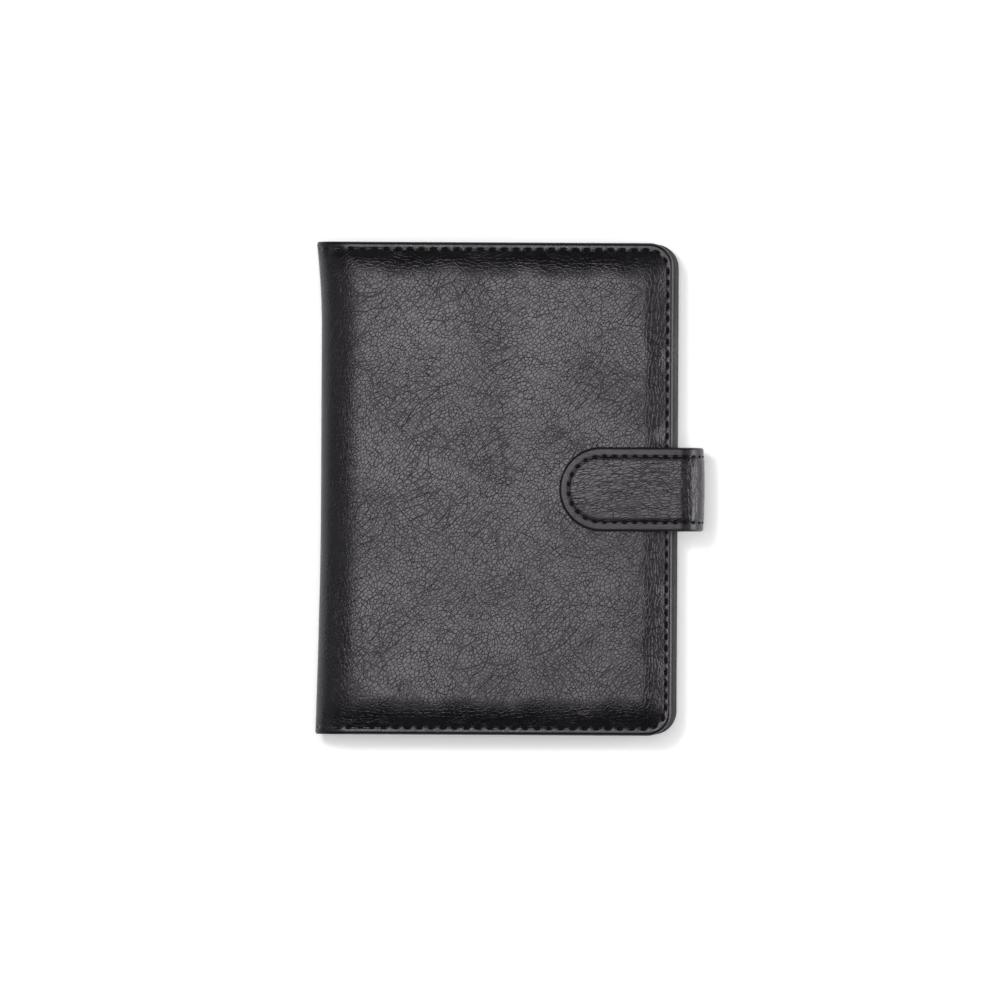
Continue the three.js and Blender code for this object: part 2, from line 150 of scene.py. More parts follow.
def addNode(tree, kind, inputs, **settings):
    # a shader node with its settings and inputs
    node = tree.nodes.new("ShaderNode" + kind)
    for key, value in settings.items():
        setattr(node, key, value)
    return feed(node, inputs)


def calc(operation, *values):
    # one Math node, in the tree of the sockets among its values
    tree = next(value.id_data for value in values if isinstance(value, bpy.types.NodeSocket))
    return addNode(tree, "Math", dict(enumerate(values)), operation=operation).outputs[0]


plus, less, times, most = (partial(calc, kind) for kind in ("ADD", "SUBTRACT", "MULTIPLY", "MAXIMUM"))


def remap(value, fromMin, fromMax, toMin, toMax):
    # a socket's value carried smoothly from one range to another
    limits = {"Value": value, "From Min": fromMin, "From Max": fromMax, "To Min": toMin, "To Max": toMax}
    return addNode(value.id_data, "MapRange", limits, interpolation_type="SMOOTHSTEP").outputs[0]


def newGroup(name, vectors, numbers, results):
    # an empty node group with named sockets, what it is given, and its last node
    tree = bpy.data.node_groups.new(name, "ShaderNodeTree")
    for sockets, side, kind in (
        (vectors, "INPUT", "NodeSocketVector"),
        (numbers, "INPUT", "NodeSocketFloat"),
        (results, "OUTPUT", "NodeSocketFloat"),
    ):
        for socket in sockets:
            tree.interface.new_socket(socket, in_out=side, socket_type=kind)
    return tree, tree.nodes.new("NodeGroupInput").outputs, tree.nodes.new("NodeGroupOutput")


grain = dict(
    noises=((0.045, 1.0), (0.5, 2.0), (2.4, 3.0), (0.03, 3.0)),  # slow, quick, skin and cloud
    sweep=(4.5, 0.25),  # how far the slow and the quick noise bend the pebbles
    curve=(11.0, 0.25),  # and the long creases
    long=(5.0, 1.0, 1.0),  # how far the long creases are drawn out
    # cells; width of lines, and the noise they fade by: scale, limits, least, most
    pebble=(1.0, (0.12, 0.35, 0.3, 0.7, 0.35, 0.6)),
    wide=(0.42, (0.05, 0.2, 0.35, 0.65, 0.15, 0.65)),
    flow=(0.36, (0.04, 0.06, 0.35, 0.65, 0.0, 0.7)),
    cross=(0.3, (0.035, 0.05, 0.4, 0.65, 0.0, 0.55)),
    slope=(2.2, 6.5, 10.0),  # distances to the edge: its start, and both ends of its top
    feet=(4.4, 5.5),  # and its foot at the fore-edge and the ends
    spine=((0.0, 5.0, 0.0, 0.55), (9.0, 14.0, 1.0, 0.0)),  # by the distance to its middle
    gather=1.4,  # how much stronger the net is at the fore-edge
    netSides=((0.0, 0.0, quarterTurn), (2.6, 0.95, 1.0)),  # turn and stretch of the net
    netEnd=((0.0, 0.0, 0.0), (2.1, 0.95, 1.0)),
    netWidth=0.2,
    netSmooth=0.7,  # how far creases give way to the net
    dome=(0.0, 0.42, 0.0, 0.12),
    skinHeight=0.1,
)


def buildGrainGroup():
    # Leather grain. Places are bent by two noises, and cell patterns give thin creases along the edges
    # of their cells: pebbles, wider cells, and two crossing families of cells drawn out into long lines.
    # Each fades in and out. On the slopes, by the distance to Fore, End and Spine, the creases give way
    # to a net of raised lines drawn out beside the seam. Crease is 1 in a crease, Height is the surface,
    # Cloud a slow change of tone.
    numbers = ("Pebble", "Crack", "Fore", "End", "Spine", "Net")
    results = ("Height", "Crease", "Cloud")
    tree, given, last = newGroup("leatherGrain", ("Place", "Turn", "Cross", "Draw"), numbers, results)
    place = given["Place"]

    def noise(scale, detail):
        # a noise of the place, by its node's outputs
        wanted = {"Vector": place, "Scale": scale, "Detail": detail}
        return addNode(tree, "TexNoise", wanted, noise_dimensions="2D").outputs

    def shifted(amounts):
        # the place moved by the slow and the quick noise, taken about zero
        moved = place
        for push, amount in zip((slow, quick), amounts):
            middle = {0: push["Color"], 1: (0.5, 0.5, 0.5)}
            centred = addNode(tree, "VectorMath", middle, operation="SUBTRACT").outputs[0]
            add = {0: centred, 1: (amount, amount, amount), 2: moved}
            moved = addNode(tree, "VectorMath", add, operation="MULTIPLY_ADD").outputs[0]
        return moved

    def drawn(vector, turn, stretch):
        # a place on turned axes, stretched along them
        wanted = {"Vector": vector, "Rotation": turn, "Scale": stretch}
        return addNode(tree, "Mapping", wanted, vector_type="TEXTURE").outputs[0]

    def toEdge(vector, size):
        # distance to the nearest edge between cells of a size
        cell = {"Vector": vector, "Scale": times(pebbleScale, size)}
        kind = {"voronoi_dimensions": "2D", "feature": "DISTANCE_TO_EDGE"}
        return addNode(tree, "TexVoronoi", cell, **kind).outputs["Distance"]

    def lines(gap, width, fade):
        # thin lines along the edges between cells, times a share
        return times(remap(gap, 0.0, width, 1.0, 0.0), fade)

    def patchy(gap, width, scale, *limits):
        # the same, with a share by a noise
        return lines(gap, width, remap(noise(scale, 1.0)["Fac"], *limits))

    def slope(distance, foot):
        # 1 on the slope beside the seam, by the distance to the edge
        start, *top = grain["slope"]
        return times(remap(distance, start, foot, 0.0, 1.0), remap(distance, *top, 1.0, 0.0))

    slow, quick, skin, cloud = (noise(*wanted) for wanted in grain["noises"])
    pebbleScale = calc("DIVIDE", 1.0, given["Pebble"])
    swept, curved = shifted(grain["sweep"]), shifted(grain["curve"])
    bent = drawn(swept, given["Turn"], given["Draw"])
    along, over = (drawn(curved, given[turn], grain["long"]) for turn in ("Turn", "Cross"))
    families = (("pebble", bent), ("wide", bent), ("flow", along), ("cross", over))
    gaps = [toEdge(vector, grain[family][0]) for family, vector in families]
    pebble, wide, flow, cross = (patchy(gap, *grain[kind][1]) for gap, (kind, _) in zip(gaps, families))
    split = addNode(tree, "SeparateXYZ", {0: place}).outputs
    onFore = slope(less(given["Fore"], split[0]), grain["feet"][0])
    onEnd = slope(less(given["End"], calc("ABSOLUTE", split[1])), grain["feet"][1])
    fromSpine = less(split[0], given["Spine"])
    onSpine = times(*(remap(fromSpine, *limits) for limits in grain["spine"]))
    onSides = most(times(onFore, grain["gather"]), onSpine)
    netSides, netEnd = (
        lines(toEdge(drawn(swept, *grain[net]), 1.0), grain["netWidth"], share)
        for net, share in (("netSides", onSides), ("netEnd", onEnd))
    )
    net = times(most(netSides, netEnd), given["Net"])
    smooth = less(1.0, times(most(onFore, onEnd), grain["netSmooth"]))
    crease = times(most(most(pebble, wide), times(most(flow, cross), given["Crack"])), smooth)
    face = plus(remap(gaps[0], *grain["dome"]), times(skin["Fac"], grain["skinHeight"]))
    feed(last, {"Height": less(plus(face, net), crease), "Crease": crease, "Cloud": cloud["Fac"]})
    return tree


weave = dict(over=0.5, uneven=dict(Scale=0.8, Detail=3.0), thread=(-0.5, 1.2))


def buildWeaveGroup():
    # Plain weave. Height is a chequer of sine waves across and along, plus the product of their ridges;
    # Thread is the same from 0 to 1, times a slow noise for uneven yarn: as a colour it is painted shade
    # between the yarns.
    tree, given, last = newGroup("plainWeave", ("Place",), ("Yarn",), ("Height", "Thread"))
    split = addNode(tree, "SeparateXYZ", {0: given["Place"]}).outputs
    turn = calc("DIVIDE", math.pi, given["Yarn"])
    across, along = times(split[0], turn), times(split[1], turn)
    over = times(calc("SINE", across), calc("SINE", along))
    ridges = [calc("ABSOLUTE", calc("COSINE", wave)) for wave in (across, along)]
    height = plus(times(over, weave["over"]), times(*ridges))
    uneven = {"Vector": given["Place"], **weave["uneven"]}
    yarn = addNode(tree, "TexNoise", uneven, noise_dimensions="2D").outputs["Fac"]
    feed(last, {"Height": height, "Thread": times(remap(height, *weave["thread"], 0.0, 1.0), yarn)})
    return tree


grainGroup = buildGrainGroup()
weaveGroup = buildWeaveGroup()


def newMaterial(name, look):
    # a material with its own shader, whose even values sit on the shader's sockets
    material = bpy.data.materials.new(name)
    material.use_nodes = True
    tree = material.node_tree
    even = {"Roughness": look["roughness"], "Specular IOR Level": look["specular"]}
    even["Metallic"] = look.get("metallic", 0.0)
    return material, tree, feed(tree.nodes["Principled BSDF"], even)


def flatPlace(tree):
    # the piece's place on its flat cut, in millimetres
    uv = addNode(tree, "UVMap", {}, uv_map=flatMap).outputs[0]
    return addNode(tree, "Mapping", {"Vector": uv, "Scale": (1 / mm, 1 / mm, 1 / mm)}).outputs[0]


def objectPlace(tree):
    # the place on the object, in metres
    return addNode(tree, "TexCoord", {}).outputs["Object"]


def dress(shader, look, share, height=None):
    # base colour between the look's two by a share, and a bump from a height
    colours = {"Factor": share, 6: (*look["low"], 1.0), 7: (*look["high"], 1.0)}  # colour sockets
    mix = addNode(shader.id_data, "Mix", colours, data_type="RGBA")
    feed(shader, {"Base Color": mix.outputs[2]})
    if height is not None:
        bump = addNode(shader.id_data, "Bump", {"Height": height, "Distance": look["depth"] * mm})
        feed(shader, {"Normal": bump.outputs[0]})


def leatherMaterial(name, look):
    # black grained leather: creases are duller and sunk, and their base colour is darker as painted shade;
    # pressed rims are smooth
    material, tree, shader = newMaterial(name, look)
    wanted = {"Place": flatPlace(tree), **look["grain"]}
    grained = addNode(tree, "Group", wanted, node_tree=grainGroup).outputs
    pressed = addNode(tree, "Attribute", {}, attribute_name=pressedMark).outputs["Fac"]
    free = less(1.0, pressed)
    crease = times(grained["Crease"], free)
    clouds = (look["roughness"] - look["cloud"], look["roughness"] + look["cloud"])
    cloudy = remap(grained["Cloud"], *look["cloudRange"], *clouds)
    dull = plus(plus(cloudy, times(crease, look["creaseDull"])), times(pressed, look["rimDull"]))
    feed(shader, {"Specular Tint": look["tint"], "Roughness": dull})
    # base colour darker in the creases: painted shade
    dress(shader, look, crease, times(grained["Height"], free))
    return material


farAway = 1000.0  # for pieces without slopes
coverGrain = dict(
    Turn=(0.0, 0.0, 0.8),
    Cross=(0.0, 0.0, -0.9),
    Draw=(1.35, 0.9, 1.0),
    Pebble=0.98,
    Crack=1.0,
    Fore=holder["frontEdge"],
    End=halfHeight,
    Spine=-54.0,
    Net=0.55,
)
coverLook = dict(
    low=(0.0042, 0.0038, 0.0043),  # colour between the creases, then in them, where the darker colour is painted shade
    high=(0.002, 0.0018, 0.002),
    tint=(0.97, 0.91, 1.0, 1.0),
    roughness=0.27,
    cloud=0.03,  # how far clouds change the roughness, over the range below
    cloudRange=(0.3, 0.7),
    specular=0.55,
    creaseDull=0.3,
    rimDull=0.03,
    depth=0.055,
    grain=coverGrain,
)
plainGrain = dict(coverGrain, Fore=farAway, End=farAway, Spine=-farAway, Net=0.0)
strapGrain = dict(plainGrain, Turn=(0.0, 0.0, 0.12), Cross=(0.0, 0.0, -0.2), Draw=(2.6, 0.8, 1.0))
strapGrain.update(Pebble=0.92, Fore=59.0, Net=0.45)  # gathered over the bend
strapLook = dict(coverLook, specular=0.49, rimDull=0.12, grain=strapGrain)
pocketLook = dict(coverLook, depth=0.06, creaseDull=0.28, roughness=0.29)
# the pockets' colour between the creases, then the darker painted shade in them
pocketLook.update(low=(0.0125, 0.0118, 0.0128), high=(0.005, 0.0047, 0.0051))
pocketLook["grain"] = dict(plainGrain, Pebble=1.15, Crack=0.5)
skinLeather = leatherMaterial("skinLeather", coverLook)
strapLeather = leatherMaterial("strapLeather", strapLook)
pocketLeather = leatherMaterial("pocketLeather", pocketLook)


def buildLiningCloth():
    # fine black woven lining: uneven yarn, and a colour that is lighter on the raised yarn and darker
    # between, as painted shade
    look = dict(roughness=0.8, specular=0.3, yarn=0.35, depth=0.06)
    look.update(low=(0.006, 0.006, 0.007), high=(0.03, 0.03, 0.033))
    material, tree, shader = newMaterial("liningCloth", look)
    wanted = {"Place": flatPlace(tree), "Yarn": look["yarn"]}
    woven = addNode(tree, "Group", wanted, node_tree=weaveGroup).outputs
    dress(shader, look, woven["Thread"], woven["Height"])
    return material


def buildThread():
    # twisted black thread: ridges as the size of a sine wave that slants along each stitch, with painted
    # shade darkening the colour between the ridges
    look = dict(roughness=0.8, specular=0.12, twist=0.35, slant=0.8, depth=0.05)
    look.update(low=(0.002, 0.002, 0.002), high=(0.007, 0.007, 0.008))
    material, tree, shader = newMaterial("seamThread", look)
    split = addNode(tree, "SeparateXYZ", {0: flatPlace(tree)}).outputs
    slanted = times(plus(split[0], times(split[1], look["slant"])), math.pi / look["twist"])
    ridge = calc("ABSOLUTE", calc("SINE", slanted))
    dress(shader, look, ridge, ridge)
    return material


def noisyMaterial(name, look):
    # two colours by a noise, whose scale makes it fibres or drawn-out scratches
    material, tree, shader = newMaterial(name, look)
    stretch = {"Vector": objectPlace(tree), "Scale": look["scale"]}
    scaled = addNode(tree, "Mapping", stretch).outputs[0]
    wanted = {"Vector": scaled, "Scale": 1.0, "Detail": look["detail"]}
    dress(shader, look, addNode(tree, "TexNoise", wanted).outputs["Fac"])
    return material


boardLook = dict(low=(0.3, 0.285, 0.25), high=(0.46, 0.44, 0.4), roughness=0.9, specular=0.2)
boardLook.update(scale=(900.0, 900.0, 900.0), detail=4.0)
steelLook = dict(low=(0.5, 0.51, 0.53), high=(0.66, 0.67, 0.69), roughness=0.3, specular=0.5)
steelLook.update(scale=(200.0, 6000.0, 200.0), detail=3.0, metallic=1.0)
liningCloth = buildLiningCloth()
seamThread = buildThread()
pressedBoard = noisyMaterial("pressedBoard", boardLook)
platedSteel = noisyMaterial("platedSteel", steelLook)
print("materials made")

# Covers: padded leather with a sewn border, and the half of the spine that belongs to each

cover = dict(
    border=2.6,  # flat sewn border
    slope=8.8,  # rise of the padding
    foreSlope=6.8,  # the same at the fore-edge
    crown=1.8,
    steep=2.0,
    borderZ=14.35,
    underZ=12.41,  # inner face, just under the board
    round=0.95,  # rounding of the edge
    padCorner=5.0,  # added to the corner's radius at the padding's flat
    seam=2.05,  # seam to edge
    foreSeam=0.4,  # how much nearer it is to the fore-edge
    pitch=3.4,
    groove=(0.08, 0.28),  # depth and width, as for pit and pucker
    pit=(0.34, 0.42),
    pucker=(0.04, 1.5, 0.8),  # and the stretch over which it starts
    flatRun=6.0,  # past the slope, where the swells grow
    flatLift=0.1,
    swells=(  # height, waves along x and y, start
        (0.035, 0.1, 0.05, 0.6),
        (0.03, -0.06, 0.13, 2.1),
        (0.02, 0.21, 0.17, 4.0),
        (0.015, 0.33, -0.29, 1.3),
    ),
    wander=((0.42, 0.27, 0.8), (0.28, 0.56, 2.2)),  # of the slope's foot: reach, wave, start
    wanderGrow=((8.0, 16.0), (0.0, 2.5)),  # from the corner and the border
    wanderShift=9.0,  # sets the two ends apart
    band=10.0,  # width of the finer mesh along the edge
    fineEnd=3.2,  # depth to which it is finest
    squeeze=8.0,  # before a corner, where its lines close up
    startX=-37.0,  # where the spine's side of the mesh ends
    step=3.4 / 6,  # mesh step along the seam, six to a stitch
    fineLines=22,
    coarseLines=20,
    coarsePower=1.15,  # spreads the coarser lines
    rimLines=13,
    rimCut=1.6,  # leather that the rounded edge takes
    pressed=(0.5, 1.4, 2.0),  # mark of the border, and depths where it ends
    rimPressed=0.6,
)
spine = dict(
    reach=4.9,
    flare=(1.3, 1.6),  # lower and upper end
    flareLength=(61.0, 26.0),
    flarePower=(1.5, 2.0),
    padX=-40.3,  # where the padding's flat starts
    borderX=-44.5,  # where the border's flat starts
    blunt=0.92,  # power of the outer bend: smaller is blunter
    wall=0.7,
    inset=-47.5,  # where the inner face leaves the cover
    full=0.72,  # power of the inner face's bend: smaller is fuller
    seamLimit=0.9,  # share of the border's bend that the seam follows
    columns=40,
    flatColumns=4,
)


def spineFlare(y):
    # how far the spine's ends stand out: a power of the place along each end
    def curve(end):
        start = halfHeight - spine["flareLength"][end]
        share = np.clip((np.abs(y) - start) / spine["flareLength"][end], 0, 1)
        return spine["flare"][end] * share ** spine["flarePower"][end]

    return np.where(y < 0, curve(0), curve(1))


def spineMidX(y):
    # the outermost line of the spine, with its flare
    return holder["foldX"] - spine["reach"] - spineFlare(y)


def edgeDistance(x, y, edgeX):
    # distance to the nearest of three edges; corners are rounded by a radius that grows with depth:
    # radius less the length of the two shortfalls, taken four times so that radius and depth agree
    toFore, toEnd = edgeX - x, halfHeight - np.abs(y)
    nearest = depth = np.minimum(toFore, toEnd)
    for _ in range(4):
        radius = cornerRadius + cover["padCorner"] * np.clip(depth / cover["band"], 0, 1)
        shortFore = np.maximum(radius - toFore, 0)
        shortEnd = np.maximum(radius - toEnd, 0)
        depth = np.where((shortFore > 0) & (shortEnd > 0), radius - np.hypot(shortFore, shortEnd), nearest)
    return depth


def padRise(depth):
    # rise of the padding over the border: one less a power of the share of the slope that is left
    share = np.clip((depth - cover["border"]) / cover["slope"], 0, 1)
    return cover["crown"] * (1 - (1 - share) ** cover["steep"])


def seamLength(x, y, edgeX):
    # length along the seam from the middle of the fore-edge: side, corner arc, end
    pastFore = x - (edgeX - cornerRadius)
    pastEnd = np.abs(y) - sideEnd
    radius = cornerRadius - cover["seam"]
    arc = radius * np.arctan2(np.maximum(pastEnd, 0), np.maximum(pastFore, 1e-9))
    onEnd = (pastFore <= 0) & (edgeX - x > halfHeight - np.abs(y))
    onSide = np.minimum(np.abs(y), sideEnd) + np.where(pastEnd > 0, arc, 0)
    return np.where(onEnd, sideEnd + radius * quarterTurn - pastFore, onSide)


def stitchWave(length, pitch):
    # 1 in the middle of each stitch and 0 between two, as a raised cosine to the power 2
    return (0.5 - 0.5 * np.cos(2 * math.pi * length / pitch)) ** 2


def sewnLine(off, wave, groove, pit):
    # depth of a seam: a sharp groove, and a rounder pit at each stitch, both falling off by powers of e
    return groove[0] * np.exp(-np.abs(off) / groove[1]) + pit[0] * wave * np.exp(-((off / pit[1]) ** 2))


def seamDip(depth, length):
    # the cover's seam, with puckers that fade up the slope by a power of e
    off, wave = depth - cover["seam"], stitchWave(length, cover["pitch"])
    deep, wide, start = cover["pucker"]
    pucker = deep * wave * np.where(off > 0, np.exp(-off / wide), 0) * smoothStep(0, start, off)
    return -(sewnLine(off, wave, cover["groove"], cover["pit"]) + pucker)


def softSwell(x, y):
    # slow swells of the padding: the sum of long sine waves
    return sum(high * np.sin(overX * x + overY * y + start) for high, overX, overY, start in cover["swells"])


def slopeWander(length, toCorner, past):
    # how far the slope's foot wanders: two sine waves along the seam, none near it and the corners
    waves = sum(reach * np.sin(wave * length + start) for reach, wave, start in cover["wander"])
    nearCorner, nearBorder = cover["wanderGrow"]
    return waves * smoothStep(*nearCorner, toCorner) * smoothStep(*nearBorder, past)


def coverHeight(x, y, edgeX, swell):
    # the cover's outside over (x, y): border, rise of the padding by the distance to the edges, with a
    # shorter slope at the fore-edge and a wandering foot, swells on the flat, and the seam's dip
    border, slope = cover["border"], cover["slope"]
    seamEdge, toEnd = edgeX + cover["foreSeam"], halfHeight - np.abs(y)
    past = np.maximum(seamEdge - x - border, 0)
    padX = x + past - past * slope / cover["foreSlope"] + slopeWander(y, toEnd, past)
    endPlace = x + np.sign(y) * cover["wanderShift"]
    padY = y + np.sign(y) * slopeWander(endPlace, edgeX - x, np.maximum(toEnd - border, 0))
    padDepth = edgeDistance(padX, padY, seamEdge)
    flatShare = smoothStep(border, border + slope + cover["flatRun"], padDepth)
    base = cover["borderZ"] + padRise(padDepth) + swell * flatShare * (cover["flatLift"] + softSwell(x, y))
    return base + seamDip(edgeDistance(x, y, seamEdge), seamLength(x, y, seamEdge))


def pressedBorder(depth):
    # mark of the pressed border, smoothly down to none at the seam
    mark, *ends = cover["pressed"]
    return mark * (1 - smoothStep(*ends, depth))


def outlineAt(length, edgeX, inset, startX=cover["startX"]):
    # a point and its outward direction on the cover's outline, drawn in by an inset:
    # bottom edge, quarter circle, fore-edge, quarter circle, top edge
    radius, bendX = cornerRadius - inset, edgeX - cornerRadius
    flatX, quarter, flatY = bendX - startX, radius * quarterTurn, 2 * sideEnd
    stops = np.cumsum([flatX, quarter, flatY, quarter])
    turnLow, turnHigh = (length - stops[0]) / radius, (length - stops[2]) / radius
    here = [length <= stop for stop in stops]
    zero, one = np.zeros_like(length), np.ones_like(length)
    outX = np.select(here, [zero, np.sin(turnLow), one, np.cos(turnHigh)], zero)
    outY = np.select(here, [-one, -np.cos(turnLow), zero, np.sin(turnHigh)], one)
    centreX = np.interp(length, [0, stops[0], stops[3], stops[3] + flatX], [startX, bendX, bendX, startX])
    centreY = np.interp(length, [stops[1], stops[2]], [-sideEnd, sideEnd])
    return centreX + radius * outX, centreY + radius * outY, outX, outY, (flatX, quarter, flatY)


def innerBend(rows, turn, endX, depth):
    # the spine's inner face, drawn in by a depth: an ellipse made fuller by a power of cosine and sine
    midX = spineMidX(rows) + spine["wall"]
    x = endX - (endX - midX - depth) * np.cos(turn) ** spine["full"]
    return x, middleZ + (cover["underZ"] - depth - middleZ) * np.sin(turn) ** spine["full"] + 0 * rows


def onRear(patches, caps):
    # the front's patches and caps mirrored to the rear, about the middle of the thickness
    mirror, shift = np.array([1, 1, -1]), np.array([0, 0, 2 * middleZ])
    patches = [(points * mirror + shift, flat, mark) for points, flat, mark in patches]
    return patches, [loop * mirror + shift for loop in caps]


def buildCoverLeather(name, edgeX, rear, swell):
    # The cover seen from outside as a height over (x, y), in patches: a fine band along the three edges,
    # the flat of the padding, and the spine's side, a quarter ellipse from the flat down to the middle of
    # the spine. A rounded edge runs round them, and an inner face closes the form.
    startX, underZ, edgeRound, squeeze = (cover[key] for key in ("startX", "underZ", "round", "squeeze"))
    seamEdge = edgeX + cover["foreSeam"]

    # band: lines from the outline to the edge of the padding's flat
    flatX, quarter, flatY = outlineAt(np.zeros(1), edgeX, edgeRound)[4]
    alongLow, alongFore = (
        np.linspace(0, length, int(round(length / cover["step"])) + 1)
        for length in (flatX + quarter / 2, flatY + quarter)
    )
    lowEnd, foreEnd = alongLow[-1], alongFore[-1]
    along = strung(alongLow, lowEnd + alongFore, 2 * lowEnd + foreEnd - alongLow)
    outerX, outerY, outX, outY, _ = outlineAt(along, edgeX, edgeRound)
    innerRight, innerTop = edgeX - cover["band"], halfHeight - cover["band"]
    stopX, stopY = edgeX - cornerRadius - squeeze, sideEnd - squeeze
    lineX = np.interp(alongLow, [0, stopX - startX, lowEnd], [startX, stopX, innerRight])
    cornerRun = quarter / 2 + squeeze
    stops = [0, cornerRun, foreEnd - cornerRun, foreEnd]
    lineY = np.interp(alongFore, stops, [-innerTop, -stopY, stopY, innerTop])
    innerX = strung(lineX, 0 * lineY + innerRight, lineX)
    innerY = strung(0 * lineX - innerTop, lineY, 0 * lineX + innerTop)
    fineEnd, bandEnd = cover["fineEnd"], cover["band"]
    coarse = np.linspace(0, 1, cover["coarseLines"] + 1)[1:] ** cover["coarsePower"]
    fine = np.linspace(edgeRound, fineEnd, cover["fineLines"])
    depths = join([fine, fineEnd + (bandEnd - fineEnd) * coarse])
    share = (depths - edgeRound) / (bandEnd - edgeRound)
    bandX = outerX[:, None] + share * (innerX - outerX)[:, None]
    bandY = outerY[:, None] + share * (innerY - outerY)[:, None]
    band = asPoints(bandX, bandY, coverHeight(bandX, bandY, edgeX, swell))

    # flat of the padding
    padX, padY = np.meshgrid(lineX, lineY, indexing="ij")
    pad = asPoints(padX, padY, coverHeight(padX, padY, edgeX, swell))

    # spine's side: the ellipse, then level up to the flat; the seam dips along its outward direction
    rows = strung(bandY[0], lineY, -bandY[0])[:, None]
    toEnd, midX, start = halfHeight - np.abs(rows), spineMidX(rows), np.full_like(rows, startX)
    startZ = coverHeight(start, rows, edgeX, swell) - seamDip(toEnd, seamLength(start, rows, seamEdge))
    padShare = padRise(toEnd) / cover["crown"]
    turnX = spine["borderX"] + (spine["padX"] - spine["borderX"]) * padShare
    turn = np.linspace(0, quarterTurn, spine["columns"] + 1)[None, :]
    level = np.linspace(0, 1, spine["flatColumns"] + 1)[None, 1:]
    levelX = turnX + (startX - turnX) * level
    normalX, normalZ = -np.cos(turn) / (turnX - midX), np.sin(turn) / (startZ - middleZ)
    size = np.hypot(normalX, normalZ)
    normalX = join([normalX / size, 0 * levelX], 1)
    normalZ = join([normalZ / size, 1 + 0 * levelX], 1)
    sideX = join([turnX - (turnX - midX) * np.cos(turn) ** spine["blunt"], levelX], 1)
    sideZ = join([middleZ + (startZ - middleZ) * np.sin(turn), startZ + 0 * levelX], 1)
    sideFlat = asPoints(startX - runLength(sideX[:, ::-1], sideZ[:, ::-1])[:, ::-1], rows)
    dip = seamDip(toEnd, seamLength(sideFlat[..., 0], rows, seamEdge))
    side = asPoints(sideX + dip * normalX, rows, sideZ + dip * normalZ)

    # inner face of the spine's side
    insideX, insideZ = innerBend(rows, turn, spine["inset"], 0.0)
    insideX = join([insideX, spine["inset"] + (startX - spine["inset"]) * level + 0 * rows], 1)
    insideZ = join([insideZ, underZ + 0 * levelX], 1)
    inside = asPoints(insideX, rows, insideZ)

    # rounded edge: half an ellipse from the border to the inner face
    under = asPoints(outerX, outerY, underZ)
    edgeTop = strung(side[0], band[:, 0], side[-1])
    edgeUnder = strung(inside[0], under, inside[-1])
    down = asPoints(np.zeros(side.shape[1] - 1), -1, 0)
    edgeOut = join([down, asPoints(outX, outY, 0), -down])[:, None]
    half = np.linspace(0, math.pi, cover["rimLines"])[:, None]
    stand, fall = edgeRound * np.sin(half), (1 - np.cos(half)) / 2
    rim = edgeTop[:, None] + stand * edgeOut + fall * (edgeUnder - edgeTop)[:, None]
    edgeFlat = strung(sideFlat[0], band[:, 0, :2], sideFlat[-1])
    rimFlat = edgeFlat[:, None] + cover["rimCut"] * fall * edgeOut[..., :2]

    patches = [
        (band, band[..., :2], pressedBorder(edgeDistance(bandX, bandY, edgeX))),
        (pad, pad[..., :2], 0.0),
        (side, sideFlat, pressedBorder(toEnd)),
        (rim, rimFlat, cover["rimPressed"]),
        (inside, inside[..., :2], 1.0),
    ]
    flatShift = np.array([holder["frontEdge"] - edgeX, 0])  # both covers' grain starts at their fore-edge
    patches = [(points, flat + flatShift, mark) for points, flat, mark in patches]
    underLoop = join([under, inside[::-1, -1][1:-1]])
    midLoop = join([side[:, 0], rim[-1, 1:-1], inside[::-1, 0], rim[0, -2:0:-1]])
    caps = [underLoop, midLoop]
    if rear:
        patches, caps = onRear(patches, caps)
    return makePiece(name, patches, caps, skinLeather)


frontLeather = buildCoverLeather("front_leather", holder["frontEdge"], False, 1.0)
rearLeather = buildCoverLeather("rear_leather", holder["rearEdge"], True, 0.0)
for piece, nodes in (
    (frontLeather, ("front_outer_skin", "front_foam_pad", "spine_outer_skin")),
    (rearLeather, ("rear_outer_skin", "rear_foam_pad", "spine_outer_skin")),
):
    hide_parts(*nodes)
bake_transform(frontLeather)
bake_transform(rearLeather)
print("covers made")

# Stitches: one short arched thread, repeated along a seam

coverStitch = dict(length=1.9, width=0.85, height=0.5, lift=-0.2, dive=0.25, thin=0.75, rings=7, sides=8)
outerEndX, innerEndX = -48.6, -46.0  # where the outer and inner seams end near the spine


def makeStitches(name, centres, along, up, look):
    # Each stitch is a tube along an arch that dives with the fourth power of the place along it. Its rings
    # are ellipses, narrower at the ends: the root of one less a share of the sixth power.
    ring = np.linspace(0, 2 * math.pi, look["sides"] + 1)[None, :]
    place = np.linspace(-1, 1, look["rings"])[:, None]
    taper = np.sqrt(1 - look["thin"] * place ** 6)
    length = place * look["length"] / 2 + 0 * ring
    across = taper * look["width"] / 2 * np.cos(ring)
    lift = taper * look["height"] / 2 * np.sin(ring) + look["lift"] - look["dive"] * place ** 4
    points = centres[:, None, None, :]
    for values, axis in ((length, along), (across, np.cross(up, along)), (lift, up)):
        points = points + values[None, :, :, None] * axis[:, None, None, :]
    flat = asPoints(length, look["width"] * ring / 2)
    patches = [(one, flat, 0.0) for one in points]
    caps = [one[end, :-1] for one in points for end in (0, -1)]
    piece = makePiece(name, patches, caps, seamThread)
    return piece


def coverSeam(edgeX, endX):
    # stitch middles and headings on a cover's seam, by the pitch both ways from the middle of the fore-edge
    flatX, quarter, flatY = outlineAt(np.zeros(1), edgeX, cover["seam"], endX)[4]
    half = flatX + quarter + flatY / 2
    count = int(half / cover["pitch"])
    length = half + (np.arange(-count, count) + 0.5) * cover["pitch"]
    x, y, outX, outY, _ = outlineAt(length, edgeX, cover["seam"], endX)
    return x, y, asPoints(-outY, outX, 0)


